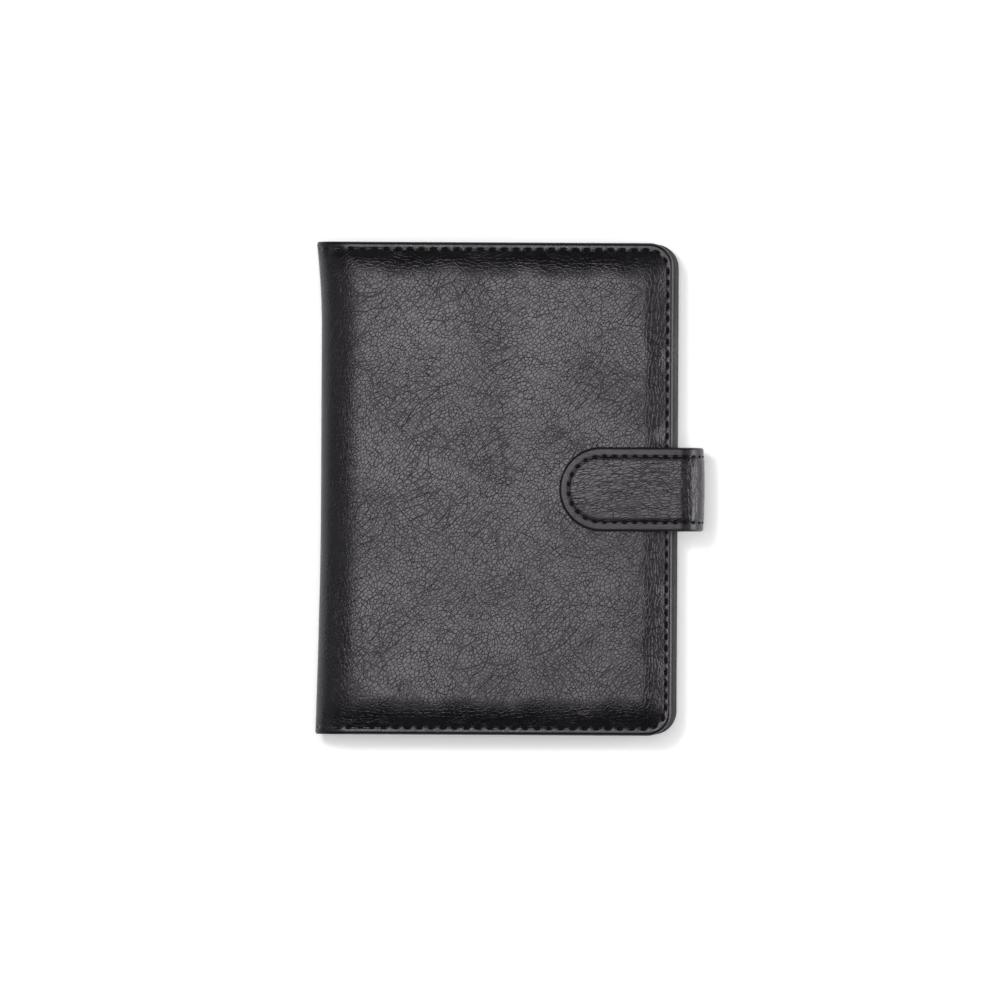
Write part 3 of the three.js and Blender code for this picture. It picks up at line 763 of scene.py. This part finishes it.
def borderBend(x, y):
    # height and slope of the sewn border: level, and an ellipse down towards the spine
    rise = cover["borderZ"] - middleZ
    reach = spine["borderX"] - spineMidX(y)
    past = np.clip((spine["borderX"] - x) / reach, 0, spine["seamLimit"])
    share = np.sqrt(1 - past * past)
    return middleZ + rise * share, rise * past / (reach * share)


def rearBorderBend(x, y):
    # the same, mirrored to the rear cover
    level, slope = borderBend(x, y)
    return 2 * middleZ - level, -slope


def stitchCover(name, body, edgeX, endX, bend, upward, look):
    # stitches of a cover's seam, laid on a bend that gives height and slope, outwards up or down
    x, y, along = coverSeam(edgeX, endX)
    level, slope = bend(x, y)
    along[:, 2] = along[:, 0] * slope
    up = asPoints(-slope, 0, 1) * (1 if upward else -1)
    piece = makeStitches(name, asPoints(x, y, level), unit(along), unit(up), look)
    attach(piece, body)
    return piece


for name, body, edgeX, bend, upward, node in (
    ("front_stitches", "front_cover", holder["frontEdge"], borderBend, True, "front_seam_thread"),
    ("rear_stitches", "rear_cover", holder["rearEdge"], rearBorderBend, False, "rear_seam_thread"),
):
    piece = stitchCover(name, body, edgeX + cover["foreSeam"], outerEndX, bend, upward, coverStitch)
    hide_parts(node)
print("cover stitches made")

# Strap: worked out flat as length, width and height, then laid along its curve

strap = dict(
    half=12.1,
    closureX=26.8,
    bendX=49.45,
    high=18.85,
    low=1.9,
    reach=7.2,
    thickness=2.4,
    round=0.8,
    rim=0.26,  # how far the pressed rim lies below the middle
    seam=2.6,
    pitch=2.9,
    groove=(0.12, 0.22),  # depth and width, as for the pit
    pit=(0.18, 0.36),
    pitPower=1.65,  # shortens the pits along the seam
    crown=0.1,
    rimRise=(-0.3, 1.6),  # past the seam, where the rim ends and the crown grows
    crownRise=(1.5, 9.5),
    fold=0.035,  # height of the small folds over the bend
    foldFrom=(48.5, 52.5),  # lengths where they start and end
    foldTo=(56.0, 60.0),
    foldDepth=(2.9, 3.8),  # and how far they keep from the edge
    underLift=0.19,  # thread further out on the underside
    tuck=1.6,  # length tucked into the rear cover
    threadStop=0.5,  # how far before it the thread ends
    step=2.9 / 8,
    fineEnd=4.4,  # inset to which the mesh is finest
    fineLines=25,
    coarseLines=19,
    lowInsets=(9.0, 6.0, 3.0, 1.5),  # mesh lines on the underside
    rimLines=13,
    arcLines=721,
    boxy=0.7,  # power of the rounded edge: smaller is boxier
    pressed=(0.65, 2.4, 3.0),  # mark of the rim, and insets where it ends
)
strapStitch = dict(coverStitch, length=1.5, width=0.75, lift=-0.36, dive=0.2)
strapMid = (strap["high"] + strap["low"]) / 2
strapRise = (strap["high"] - strap["low"]) / 2
arcAngle = np.linspace(quarterTurn, -quarterTurn, strap["arcLines"])
arcLength = runLength(strap["reach"] * np.cos(arcAngle), strapRise * np.sin(arcAngle))
strapMiddle = strap["bendX"] + arcLength[-1] / 2
tipRadius = strap["half"] - strap["seam"]
tipLength = tipRadius * quarterTurn  # length of the seam from the tip to its straight part


def strapLay(length, across, height):
    # a flat place laid on the strap's curve: level on the front cover, half an ellipse by its own
    # length round the fore-edge, level again under the rear cover
    bent = length - strap["bendX"]
    angle = np.interp(bent, arcLength, arcAngle)
    after = np.maximum(bent - arcLength[-1], 0)
    x = np.minimum(length, strap["bendX"]) + strap["reach"] * np.cos(angle) - after
    z = strapMid + strapRise * np.sin(angle)
    normalX, normalZ = np.cos(angle) / strap["reach"], np.sin(angle) / strapRise
    size = np.hypot(normalX, normalZ)
    return asPoints(x + height * normalX / size, across, z + height * normalZ / size)


def strapFace(depth, length):
    # height of the outer face: pressed rim, seam with shorter pits than a cover's, then a low crown
    off, wave = depth - strap["seam"], stitchWave(length, strap["pitch"]) ** strap["pitPower"]
    rim = strap["rim"] * (1 - smoothStep(*strap["rimRise"], off))
    crown = strap["crown"] * smoothStep(*strap["crownRise"], off)
    return crown - rim - sewnLine(off, wave, strap["groove"], strap["pit"])


def bendFolds(flatLength, flatAcross, depth):
    # small folds across the strap where it bends: three waves along it whose phase wanders across it
    here = smoothStep(*strap["foldFrom"], flatLength) * (1 - smoothStep(*strap["foldTo"], flatLength))
    wander = 1.3 * np.sin(0.62 * flatAcross + 0.4) + 0.8 * np.sin(1.37 * flatAcross + 0.11 * flatLength)
    waves = (
        np.sin(3.1 * flatLength + wander)
        + 0.8 * np.sin(4.3 * flatLength - 1.4 * wander + 1.0)
        + 0.5 * np.sin(2.0 * flatLength + 2.2 * np.sin(0.9 * flatAcross))
    )
    return strap["fold"] * (here * smoothStep(*strap["foldDepth"], depth)) * waves


def strapPatch(middle, outLength, outAcross, length):
    # the strap's section as insets and heights, carried along middles with outward directions
    half, edgeRound, fineEnd = strap["half"], strap["round"], strap["fineEnd"]
    turn = np.linspace(math.pi, 0, strap["rimLines"])
    lowInset = np.array([half, *strap["lowInsets"]])
    rimInset = edgeRound - edgeRound * np.sin(turn) ** strap["boxy"]
    fine = np.linspace(edgeRound, fineEnd, strap["fineLines"])[1:]
    coarse = np.linspace(fineEnd, half, strap["coarseLines"])[1:]
    inset = join([lowInset, rimInset, fine, coarse])[None, :]
    fallShare = join([0 * lowInset + 1, (1 - np.cos(turn)) / 2, 0 * fine, 0 * coarse])[None, :]
    flatLength = middle[:, None] + (half - inset) * outLength[:, None]
    flatAcross = (half - inset) * outAcross[:, None]
    face = strapFace(np.maximum(inset, edgeRound), length[:, None]) + bendFolds(flatLength, flatAcross, inset)
    height = face + fallShare * (-strap["thickness"] - face)
    mark, *ends = strap["pressed"]
    pressed = mark * np.maximum(1 - smoothStep(*ends, inset), fallShare)
    return strapLay(flatLength, flatAcross, height), asPoints(flatLength, flatAcross), pressed


def buildStrapUpper():
    # from the middle of the bend along one edge, round the tip and back
    closureX, step = strap["closureX"], strap["step"]
    straight = np.linspace(strapMiddle, closureX, int((strapMiddle - closureX) / step) + 1)
    turn = np.linspace(-quarterTurn, quarterTurn, int(math.pi * strap["half"] / step) + 1)
    middle = strung(straight, 0 * turn + closureX, straight)
    outLength = strung(0 * straight, -np.cos(turn), 0 * straight)
    outAcross = strung(0 * straight - 1, np.sin(turn), 0 * straight + 1)
    fromTip = tipLength + straight - closureX
    length = strung(fromTip, tipRadius * np.abs(turn), fromTip)
    patch = strapPatch(middle, outLength, outAcross, length)
    endLoop = join([patch[0][0], patch[0][-1, -2:0:-1]])
    return makePiece("strap_upper", [patch], [endLoop], strapLeather)


def buildStrapLower():
    # from the middle of the bend to the end tucked into the rear cover, as two mirrored halves
    last = strap["bendX"] + arcLength[-1] + strap["tuck"]
    straight = np.linspace(strapMiddle, last, int((last - strapMiddle) / strap["step"]) + 1)
    length = tipLength + straight - strap["closureX"]
    near, far = (strapPatch(straight, 0 * straight, 0 * straight + out, length) for out in (-1, 1))
    loops = [join([near[0][end], far[0][end, -2:0:-1]]) for end in (0, -1)]
    return makePiece("strap_lower", [near, far], loops, strapLeather)


def stitchStrap(name, firstLength, lastLength):
    # both edges between two lengths from the tip, on the outer face and the underside; directions come from
    # places a little further along the seam and further out
    length = (np.arange(int(lastLength / strap["pitch"]) + 1) + 0.5) * strap["pitch"]
    length = length[(length >= firstLength) & (length < lastLength)]
    turn = np.clip(length / tipRadius, 0, quarterTurn)
    flatLength = strap["closureX"] - tipRadius * np.cos(turn) + np.maximum(length - tipLength, 0)
    across, ahead = tipRadius * np.sin(turn), 0.01
    here = strapLay(flatLength, across, 0.0)
    stepOn = strapLay(flatLength + ahead * np.sin(turn), across + ahead * np.cos(turn), 0.0)
    up = (strapLay(flatLength, across, ahead) - here) / ahead
    along, mirror = unit((stepOn - here) / ahead), np.array([1, -1, 1])
    under = here - (strap["thickness"] + strap["underLift"]) * up
    places = join([here, here * mirror, under, under * mirror])
    headings, outward = join([along, along * mirror] * 2), join([up, up, -up, -up])
    return makeStitches(name, places, headings, outward, strapStitch)


strapUpper = buildStrapUpper()
strapLower = buildStrapLower()
middleFromTip = tipLength + strapMiddle - strap["closureX"]
lastFromTip = middleFromTip + arcLength[-1] / 2 - strap["threadStop"]
upperStitches = stitchStrap("strap_stitches_upper", 0, middleFromTip)
lowerStitches = stitchStrap("strap_stitches_lower", middleFromTip, lastFromTip)
for piece in (strapUpper, upperStitches):
    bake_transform(piece)
for piece in (strapLower, lowerStitches):
    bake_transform(piece)
bendLayers = ("strap_bend_skin", "strap_bend_core", "strap_bend_lining")
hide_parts("strap_tab_skin", "strap_tab_core", "strap_tab_lining", *bendLayers)
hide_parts("strap_root_skin", "strap_root_core", "strap_root_lining", *bendLayers)
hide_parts("strap_tab_thread")
print("strap made")

# Linings and pockets: thin sheets with a rounded edge

sheetLook = dict(
    edgeRound=0.15,
    lineWidth=0.28,  # pressed line under the seam
    lineDepth=0.12,
    pastLine=0.6,  # how far the mesh goes on past it
    faceLines=15,
    rimLines=9,
    pressed=(0.8, 0.5),  # marks of the margin and the edge
)
cornerPoints = 10


def roundedOutline(x0, x1, y0, y1, leftRadius, rightRadius, steps=cornerPoints):
    # anticlockwise points round a rectangle: a quarter circle at each corner
    turn = np.linspace(0, quarterTurn, steps)
    corners = (
        (x0 + leftRadius, y0 + leftRadius, leftRadius, 2),
        (x1 - rightRadius, y0 + rightRadius, rightRadius, 3),
        (x1 - rightRadius, y1 - rightRadius, rightRadius, 0),
        (x0 + leftRadius, y1 - leftRadius, leftRadius, 1),
    )
    arcs = []
    for x, y, radius, count in corners:
        arc = turn + count * quarterTurn
        arcs.append(asPoints(x + radius * np.cos(arc), y + radius * np.sin(arc)))
    return join(arcs)


def makeSheet(name, outline, bottom, thickness, line, material, upward):
    # A sheet as a profile carried round its outline, measured inwards: half a turn at the edge, and on
    # the shown face a pressed line whose depth falls off like a bell. Loops close the two flat faces.
    ahead = np.roll(outline, -1, 0) - np.roll(outline, 1, 0)
    out = unit(asPoints(ahead[:, 1], -ahead[:, 0]))
    closed, closedOut = join([outline, outline[:1]]), join([out, out[:1]])
    edgeRound = sheetLook["edgeRound"]
    half = np.linspace(0, math.pi, sheetLook["rimLines"])
    face = np.linspace(line + sheetLook["pastLine"], 2 * edgeRound, sheetLook["faceLines"])
    inward = join([face, edgeRound * (1 - np.sin(half))])
    share = join([0 * face, (1 - np.cos(half)) / 2])
    pressedLine = np.exp(-(((inward - line) / sheetLook["lineWidth"]) ** 2)) * (share == 0)
    shown, back = (bottom + thickness, bottom) if upward else (bottom, bottom + thickness)
    level = shown + (back - shown) * np.maximum(share, pressedLine * sheetLook["lineDepth"] / thickness)
    flat = closed[:, None] - inward[:, None] * closedOut[:, None]
    flat = np.clip(flat, outline.min(0) + inward[:, None], outline.max(0) - inward[:, None])
    sheet = asPoints(flat[..., 0], flat[..., 1], level)
    marginMark, edgeMark = sheetLook["pressed"]
    pressed = np.maximum(marginMark * (inward < line), edgeMark * (share > 0))
    return makePiece(name, [(sheet, flat, pressed)], [sheet[:-1, 0], sheet[:-1, -1]], material)


def sewSheet(name, outline, span, line, flat, body, node, restsOn):
    # a sewn or glued layer from its lower face and thickness: it rides on its body, shows its face to the
    # inside and stands for its node; what it lies on is not used
    slotName = "lining_cloth" if name.endswith("cloth") else "pocket_leather"
    material = liningCloth if slotName == "lining_cloth" else pocketLeather
    piece = makeSheet(name, outline, *span, line, material, body == "rear_cover")
    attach(piece, body)
    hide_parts(node)


layers = dict(
    inset=0.06,
    corner=1.0,  # radius of the corners at the spine
    cornerPoints=16,
    sleeveX=-12.85,  # open edge of the passport sleeve
    rearLining=(3.8, 0.4),  # lower faces and thicknesses
    frontLining=(11.95, 0.4),
    slip=(11.3, 0.5),
    sleeve=(4.35, 0.6),
)


def coverSheet(edgeX, fromX):
    # outline of a layer on the inside of a cover, drawn in a little
    top, right, radius = (size - layers["inset"] for size in (halfHeight, edgeX, cornerRadius))
    return roundedOutline(fromX, right, -top, top, layers["corner"], radius, layers["cornerPoints"])


rearInside = coverSheet(holder["rearEdge"], holder["innerX"])
frontInside = coverSheet(holder["frontEdge"], holder["innerX"])
sleeveOutline = coverSheet(holder["rearEdge"], layers["sleeveX"])
# outline, place, cut width, name, body, node, what it lies on
for outline, layer, width, name, *facts in (
    (rearInside, "rearLining", 96.7, "rear_lining_cloth", "rear_cover", "rear_lining", "rear_board"),
    (frontInside, "frontLining", 94.9, "front_lining_cloth", "front_cover", "front_lining", "front_board"),
    (frontInside, "slip", 94.9, "slip_pocket_leather", "front_cover", "slip_pocket", "front_lining_cloth"),
    (sleeveOutline, "sleeve", 62.0, "passport_sleeve_leather", "rear_cover", "passport_sleeve",
     "rear_lining_cloth"),
):
    sewSheet(name, outline, layers[layer], cover["seam"] - layers["inset"], (width, 2 * halfHeight), *facts)

chip = dict(x=(11.15, 35.15), y=(19.0, 49.0), span=(5.1, 0.5), flat=(24.0, 30.0), seam=1.1, pitch=2.6)
pocketCorner = 2.0
chipOutline = roundedOutline(*chip["x"], *chip["y"], pocketCorner, pocketCorner)
chipFacts = ("rear_cover", "chip_card_pocket", "passport_sleeve_leather")
sewSheet("chip_pocket_leather", chipOutline, chip["span"], chip["seam"], chip["flat"], *chipFacts)

cards = dict(
    names=("card_pocket_lower", "card_pocket_middle", "card_pocket_upper"),
    middleX=-0.1,
    half=44.6,
    bottomY=-67.5,
    topY=(-31.5, -14.5, 2.5),
    z=(9.35, 10.0, 10.65),
    thickness=0.5,
    thumbDepth=3.0,
    thumbHalf=7.5,
    thumbPoints=41,
    seam=1.0,
    pitch=2.9,
)


def cardOutline(topY):
    # a card pocket's outline: round corners, and a thumb notch as one wave of a raised cosine
    x0, x1 = cards["middleX"] - cards["half"], cards["middleX"] + cards["half"]
    plain = roundedOutline(x0, x1, cards["bottomY"], topY, pocketCorner, pocketCorner)
    right, left = np.split(plain, [3 * cornerPoints])
    reach = np.linspace(1, -1, cards["thumbPoints"])
    notchY = topY - cards["thumbDepth"] * (0.5 + 0.5 * np.cos(math.pi * reach))
    return join([right, asPoints(cards["middleX"] + cards["thumbHalf"] * reach, notchY), left])


for name, topY, bottom in zip(cards["names"], cards["topY"], cards["z"]):
    shape = (name + "_leather", cardOutline(topY), (bottom, cards["thickness"]), cards["seam"])
    flat = (2 * cards["half"], topY - cards["bottomY"])
    sewSheet(*shape, flat, "front_cover", name, "slip_pocket_leather")


def stitchU(name, body, sides, ends, pitch, level):
    # stitches by the pitch down both sides and along the bottom, at levels by y
    left, right = sides
    low, high = ends
    down = np.arange(high - pitch / 2, low + pitch / 2, -pitch)
    over = np.arange(left + pitch / 2, right - pitch / 2 + 0.01, pitch)
    x = join([left + 0 * down, over, right + 0 * down])
    y = join([down, low + 0 * over, down])
    alongX = join([0 * down, 1 + 0 * over, 0 * down])
    up = asPoints(0 * x, 0, 1 if body == "rear_cover" else -1)
    piece = makeStitches(name, asPoints(x, y, level(y)), asPoints(alongX, 1 - alongX, 0), up, innerStitch)
    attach(piece, body)


def cardLevel(y):
    # the face of the lowest card pocket that reaches as high as y
    return np.select([y < cards["topY"][0], y < cards["topY"][1]], cards["z"][:2], cards["z"][2])


def rearInnerBend(x, y):
    # no slope, at the sleeve's face or beside it the lining's
    return np.where(x > layers["sleeveX"], sum(layers["sleeve"]), sum(layers["rearLining"])), 0 * x


def frontInnerBend(x, y):
    # no slope, at the slip pocket's face
    return layers["slip"][0] + 0 * x, 0 * x


innerStitch = dict(coverStitch, width=0.5, height=0.36, lift=-0.03, dive=0.22)
seamStitch = dict(innerStitch, length=2.3)
seamX, seamY = cards["half"] - cards["seam"], cards["bottomY"] + cards["seam"]
cardU = ((cards["middleX"] - seamX, cards["middleX"] + seamX), (seamY, cards["topY"][2]))
stitchU("card_stitches", "front_cover", *cardU, cards["pitch"], cardLevel)
(left, right), (low, high), inset = chip["x"], chip["y"], chip["seam"]
chipU = ((left + inset, right - inset), (low + inset, high))
stitchU("chip_stitches", "rear_cover", *chipU, chip["pitch"], lambda y: sum(chip["span"]))
for name, body, edgeX, bend, upward in (
    ("rear_inner_stitches", "rear_cover", holder["rearEdge"], rearInnerBend, True),
    ("front_inner_stitches", "front_cover", holder["frontEdge"], frontInnerBend, False),
):
    stitchCover(name, body, edgeX, innerEndX, bend, upward, seamStitch)


def buildSpineLining(name, rear):
    # half of the spine's lining: the leather's inner bend drawn in by a gap, and again by the cloth
    look = dict(gap=0.1, cloth=0.4, columns=24, rows=61, endInset=0.5, sideInset=0.2)
    top = halfHeight - look["endInset"]
    rows = np.linspace(-top, top, look["rows"])[:, None]
    turn = np.linspace(0, quarterTurn, look["columns"])[None, :]

    def face(depth):
        # points and flat places of one face, by the length along its bend
        x, z = innerBend(rows, turn, spine["inset"] - look["sideInset"], depth)
        return asPoints(x, rows, z), asPoints(runLength(x, z), rows)

    outer, inner = face(look["gap"]), face(look["gap"] + look["cloth"])
    patches = [(*outer, 0.0), (*inner, 0.0)]
    for edge in ((0,), (-1,), (slice(None), 0), (slice(None), -1)):
        patches.append((*(np.stack([outer[part][edge], inner[part][edge]]) for part in (0, 1)), 0.0))
    if rear:
        patches, _ = onRear(patches, [])
    piece = makePiece(name, patches, [], liningCloth)
    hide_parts("spine_lining")
    return piece


spineLiningFront = buildSpineLining("spine_lining_front", False)
spineLiningRear = buildSpineLining("spine_lining_rear", True)
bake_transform(spineLiningFront)
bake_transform(spineLiningRear)
print("linings and pockets made")

# CAD nodes that stay: boards, catch plate and magnet
for node, material in (
    ("rear_board", pressedBoard),
    ("front_board", pressedBoard),
    ("catch_plate", platedSteel),
    ("strap_magnet", platedSteel),
):
    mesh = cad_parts[node].data
    mesh.materials.clear()
    mesh.materials.append(material)

# Floor, light and camera

white = (1.0, 1.0, 1.0, 1.0)
studio = dict(
    floorLow=-0.00005,
    floorHalf=30.0,
    floorColour=(0.92, 0.92, 0.92, 1.0),
    floorGlow=0.3,
    glowReach=(0.22, 1.1),  # distances over which the glow grows to white
    sky=(0.3, 0.6, 0.3, 0.02),  # heights, and brightness near the floor and overhead
    # name, place, height of the point it faces, size, power, whether it shows in reflections
    lamps=(
        ("overheadBox", (-0.06, 0.035, 0.62), 0.0, (0.34, 0.33), 1.9, True),
        ("rightHighBox", (0.5, 0.0, 0.62), 0.02, (0.4, 0.3), 0.4, True),
        ("rightLowBox", (0.95, 0.0, 0.21), 0.02, (0.6, 0.36), 4.6, True),
        ("leftBox", (-0.7, 0.0, 0.6), 0.02, (0.4, 0.4), 0.3, True),
        ("shadowKey", (-0.28, 0.25, 0.93), 0.0, (0.16, 0.16), 3.1, False),
    ),
)


def buildFloor():
    # a level square; its glow is seen by the eye and in reflections only, so its shadow stays, and it
    # grows with the distance from the middle, where the lamps reach less
    half = studio["floorHalf"]
    corners = asPoints(*np.meshgrid([-half, half], [-half, half], indexing="ij"), studio["floorLow"])
    mesh = bpy.data.meshes.new("floor")
    mesh.from_pydata(corners.reshape(-1, 3).tolist(), [], [[0, 2, 3, 1]])
    material, tree, shader = newMaterial("paleFloor", {"roughness": 0.9, "specular": 0.0})
    path = addNode(tree, "LightPath", {}).outputs
    seen = most(most(path["Is Camera Ray"], path["Is Glossy Ray"]), path["Is Transmission Ray"])
    away = addNode(tree, "VectorMath", {0: objectPlace(tree)}, operation="LENGTH").outputs["Value"]
    glow = remap(away, *studio["glowReach"], studio["floorGlow"], 1.0)
    feed(shader, {"Base Color": studio["floorColour"], "Emission Color": white})
    feed(shader, {"Emission Strength": times(seen, glow)})
    mesh.materials.append(material)
    floor = addObject("floor", mesh)


def addLamp(name, place, aimZ, size, energy, mirrored):
    # a soft lamp that faces a point over the middle, mirrored in the leather or not
    light = bpy.data.lights.new(name, "AREA")
    light.shape = "RECTANGLE"
    light.size, light.size_y = size
    light.energy = energy
    lamp = addObject(name, light)
    lamp.location = place
    lamp.rotation_mode = "QUATERNION"
    lamp.rotation_quaternion = (Vector(place) - Vector((0, 0, aimZ))).to_track_quat("Z", "Y")
    lamp.visible_camera = False
    lamp.visible_glossy = mirrored


def addCamera():
    # a long lens straight above, turned a little as in the photograph
    view = dict(centre=(-0.0023, -0.00325), frameWidth=0.288, focusZ=0.014, distance=2.0)
    view.update(sensor=36.0, turn=0.3, farthest=100.0)
    lens = bpy.data.cameras.new("camera")
    lens.sensor_width = view["sensor"]
    lens.lens = view["sensor"] * view["distance"] / view["frameWidth"]
    lens.clip_end = view["farthest"]
    camera = addObject("camera", lens)
    camera.location = (*view["centre"], view["focusZ"] + view["distance"])
    camera.rotation_euler = (0, 0, math.radians(view["turn"]))
    bpy.context.scene.camera = camera


def buildWorld():
    # a studio that is pale near the floor and dark overhead, by the height of the direction
    world = bpy.data.worlds.new("studio")
    world.use_nodes = True
    tree = world.node_tree
    heading = addNode(tree, "TexCoord", {}).outputs["Generated"]
    rise = addNode(tree, "SeparateXYZ", {0: heading}).outputs[2]
    feed(tree.nodes["Background"], {"Color": white, "Strength": remap(rise, *studio["sky"])})
    bpy.context.scene.world = world


buildFloor()
for lamp in studio["lamps"]:
    addLamp(*lamp)
addCamera()
buildWorld()
bpy.context.scene.view_settings.view_transform = "Standard"
print("studio made")
